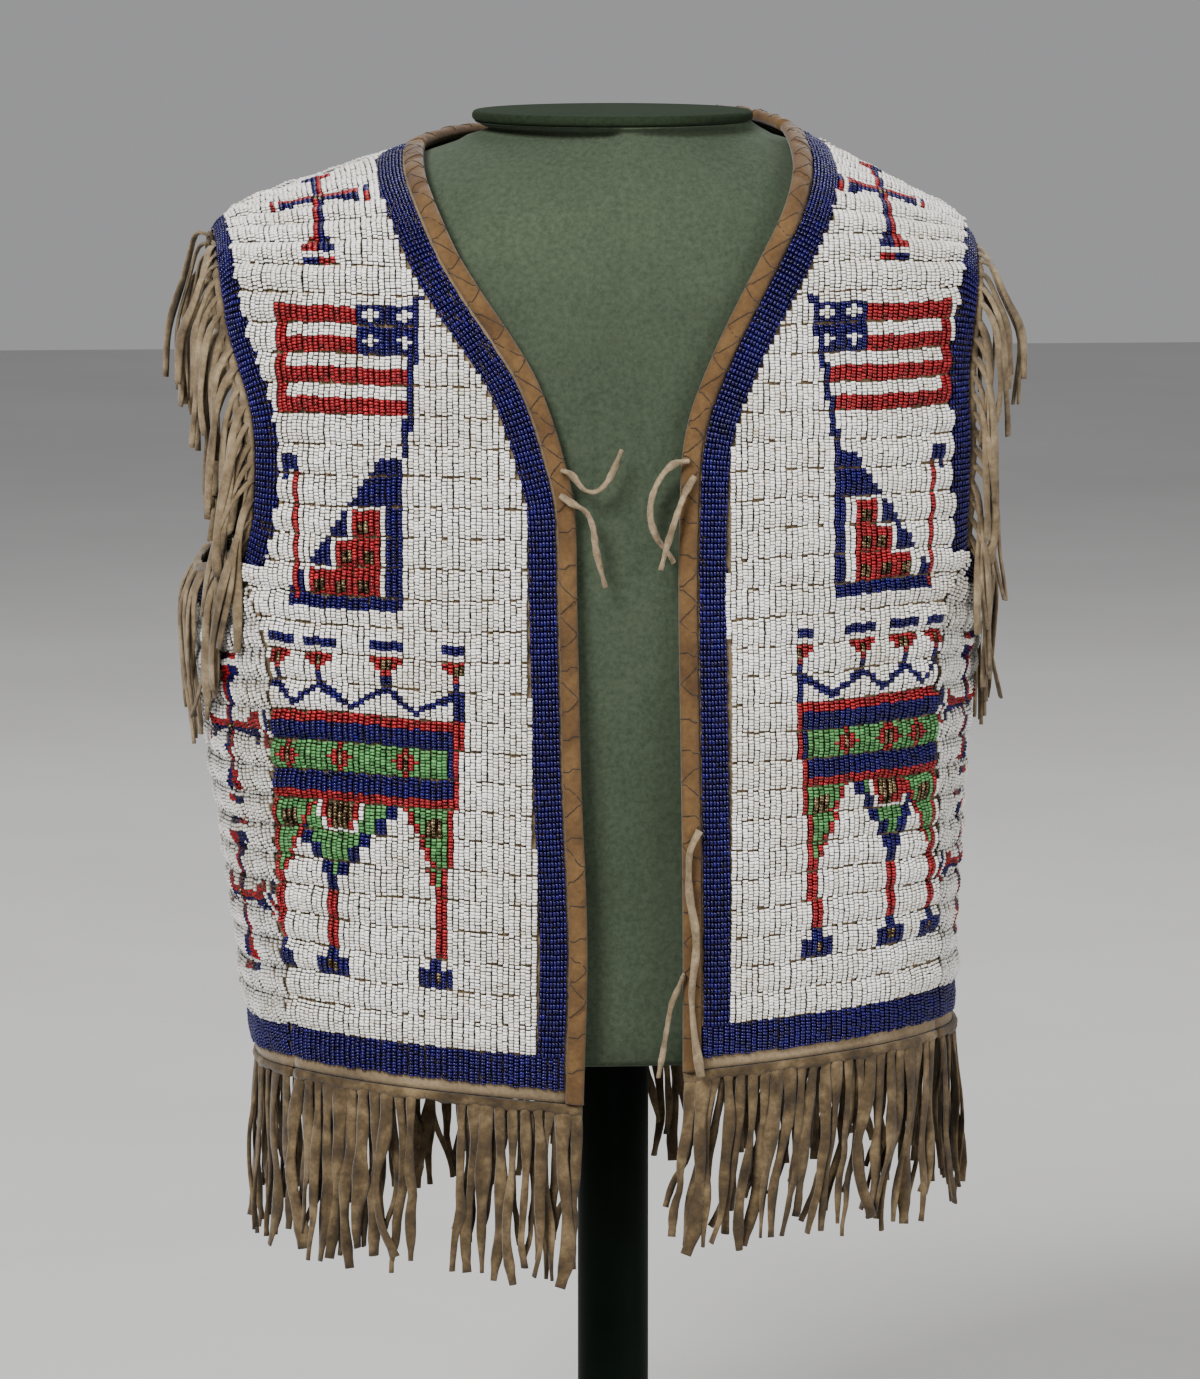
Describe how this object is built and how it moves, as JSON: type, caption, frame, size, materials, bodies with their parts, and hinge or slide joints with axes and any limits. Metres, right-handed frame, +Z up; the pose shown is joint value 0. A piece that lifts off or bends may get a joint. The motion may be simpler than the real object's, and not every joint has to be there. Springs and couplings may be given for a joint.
{
  "type": "child's beaded hide vest on a limbless dress form",
  "caption": "Open-front child's hide vest covered in lane-stitch beadwork, with fringed hem and armholes and hide thongs, on a limbless dress form with a post and round base.",
  "frame": {"origin": "centre of the underside of the round base", "axes": "+Z up, the vest's front faces -Y, +X towards the wearer's left"},
  "size_m": [0.3172, 0.26, 0.5669],
  "materials": {
    "beadwork": "glossy opaque seed beads sewn on hide",
    "binding_hide": "matte tanned hide",
    "fringe_hide": "matte soft hide",
    "thong_hide": "matte soft hide",
    "suede": "matte suede-like covering",
    "dark_paint": "satin paint"
  },
  "bodies": {
    "root": {"right_front": "beadwork", "left_front": "beadwork", "back": "beadwork", "right_front_binding": "binding_hide", "left_front_binding": "binding_hide", "back_neck_binding": "binding_hide", "hem_fringe_right_front": "fringe_hide", "hem_fringe_left_front": "fringe_hide", "hem_fringe_back": "fringe_hide", "armhole_fringe_right": "fringe_hide", "armhole_fringe_left": "fringe_hide", "tie_right_upper": "thong_hide", "tie_right_lower": "thong_hide", "tie_left_upper": "thong_hide", "tie_left_second": "thong_hide", "tie_left_long": "thong_hide", "tie_left_short": "thong_hide", "dress_form": "suede", "neck_plate": "suede", "post": "dark_paint", "base": "dark_paint"}
  },
  "joints": []
}
